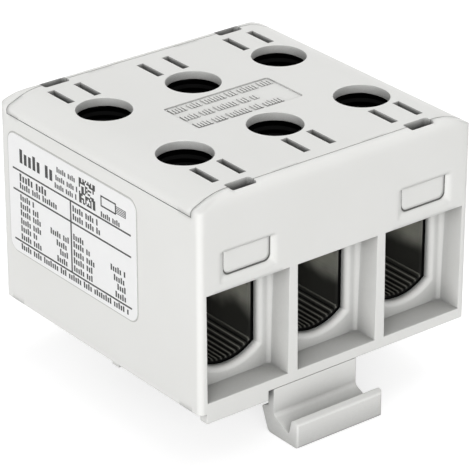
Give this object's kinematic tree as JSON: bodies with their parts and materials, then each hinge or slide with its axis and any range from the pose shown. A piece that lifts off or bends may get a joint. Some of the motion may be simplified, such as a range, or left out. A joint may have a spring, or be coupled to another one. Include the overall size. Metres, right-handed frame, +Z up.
{
  "type": "power distribution block",
  "caption": "Rail-mounted feed-through terminal block: plastic housing and latched cover over metal clamping bodies with hexagon-socket clamping screws.",
  "frame": {"origin": "centre of the housing's flat underside", "axes": "+X along the row of poles, -Y the end with the sliding clip, +Z up out of the cover; the label is on the -X side"},
  "size_m": [0.0603, 0.0649, 0.0492],
  "materials": {
    "housing_plastic": "light grey moulded polyamide, fine satin",
    "cover_plastic": "light grey moulded polyamide, fine satin",
    "terminal_metal": "tin-plated extruded aluminium, dark reflective",
    "screw_metal": "tin-plated, machined",
    "label_film": "white polyester film with fine black rules"
  },
  "bodies": {
    "block": {"base_housing": "housing_plastic", "top_cover": "cover_plastic", "terminal_left": "terminal_metal", "terminal_middle": "terminal_metal", "terminal_right": "terminal_metal", "side_label": "label_film"},
    "screw_lf": {"screw_left_front": "screw_metal"},
    "screw_lr": {"screw_left_rear": "screw_metal"},
    "screw_mf": {"screw_middle_front": "screw_metal"},
    "screw_mr": {"screw_middle_rear": "screw_metal"},
    "screw_rf": {"screw_right_front": "screw_metal"},
    "screw_rr": {"screw_right_rear": "screw_metal"},
    "clip": {"rail_clip": "housing_plastic"}
  },
  "joints": [
    {"name": "screw_lf_feed", "type": "slide", "parent": "block", "child": "screw_lf", "axis": [0, 0, -1], "range_m": [0, 0.01]},
    {"name": "screw_lr_feed", "type": "slide", "parent": "block", "child": "screw_lr", "axis": [0, 0, -1], "range_m": [0, 0.01]},
    {"name": "screw_mf_feed", "type": "slide", "parent": "block", "child": "screw_mf", "axis": [0, 0, -1], "range_m": [0, 0.01]},
    {"name": "screw_mr_feed", "type": "slide", "parent": "block", "child": "screw_mr", "axis": [0, 0, -1], "range_m": [0, 0.01]},
    {"name": "screw_rf_feed", "type": "slide", "parent": "block", "child": "screw_rf", "axis": [0, 0, -1], "range_m": [0, 0.01]},
    {"name": "screw_rr_feed", "type": "slide", "parent": "block", "child": "screw_rr", "axis": [0, 0, -1], "range_m": [0, 0.01]},
    {"name": "clip_slide", "type": "slide", "parent": "block", "child": "clip", "axis": [0, -1, 0], "range_m": [0, 0.004]}
  ]
}
